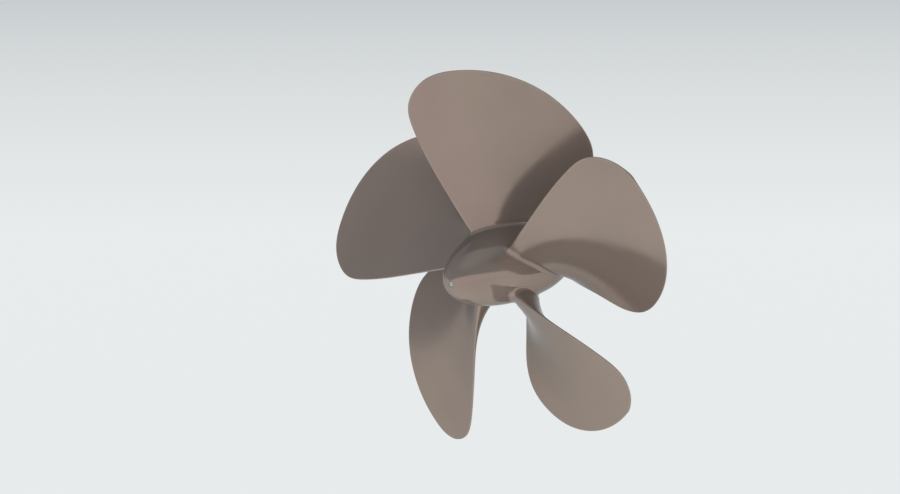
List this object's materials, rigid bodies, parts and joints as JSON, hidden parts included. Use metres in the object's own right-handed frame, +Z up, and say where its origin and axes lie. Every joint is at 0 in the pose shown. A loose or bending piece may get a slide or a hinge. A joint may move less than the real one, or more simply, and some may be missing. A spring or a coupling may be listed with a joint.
{
  "type": "boat propeller",
  "caption": "Right-handed fixed-pitch bronze boat propeller with broad twisted blades, a fair rounded hub and nose cap, keyed and nutted to a tail shaft that turns in a stern bearing.",
  "frame": {"origin": "on the shaft axis, halfway along the stern bearing", "axes": "+Y forward along the shaft, towards the boat; the nose of the propeller points to -Y; +Z up; +X to the right as seen from the nose"},
  "size_m": [0.5762, 0.4926, 0.5836],
  "materials": {
    "bronze": "polished cast nickel aluminium bronze, slightly dulled",
    "nut_bronze": "machined bronze",
    "stainless_shaft": "ground stainless steel bar",
    "stainless_fastener": "bright stainless steel",
    "naval_brass": "turned naval brass tube",
    "bearing_rubber": "moulded water-lubricated rubber",
    "nitrile": "black nitrile",
    "fibre": "red vulcanised fibre"
  },
  "bodies": {
    "bearing": {"bearing_shell": "naval_brass", "bearing_lining": "bearing_rubber"},
    "propeller": {"blade_1": "bronze", "blade_2": "bronze", "blade_3": "bronze", "blade_4": "bronze", "blade_5": "bronze", "cap_lock_screw": "stainless_fastener", "cap_screw": "stainless_fastener", "cap_screw_washer": "fibre", "cap_seal_ring": "nitrile", "hub": "bronze", "hub_seal_ring": "nitrile", "jam_nut": "nut_bronze", "nose_cap": "bronze", "nut_washer": "nut_bronze", "propeller_nut": "nut_bronze", "shaft_key": "stainless_fastener", "tab_washer": "stainless_fastener", "tail_shaft": "stainless_shaft"}
  },
  "joints": [
    {"name": "propeller_spin", "type": "hinge", "parent": "bearing", "child": "propeller", "pos_m": [0, 0, 0], "axis": [0, 1, 0], "continuous": true}
  ]
}
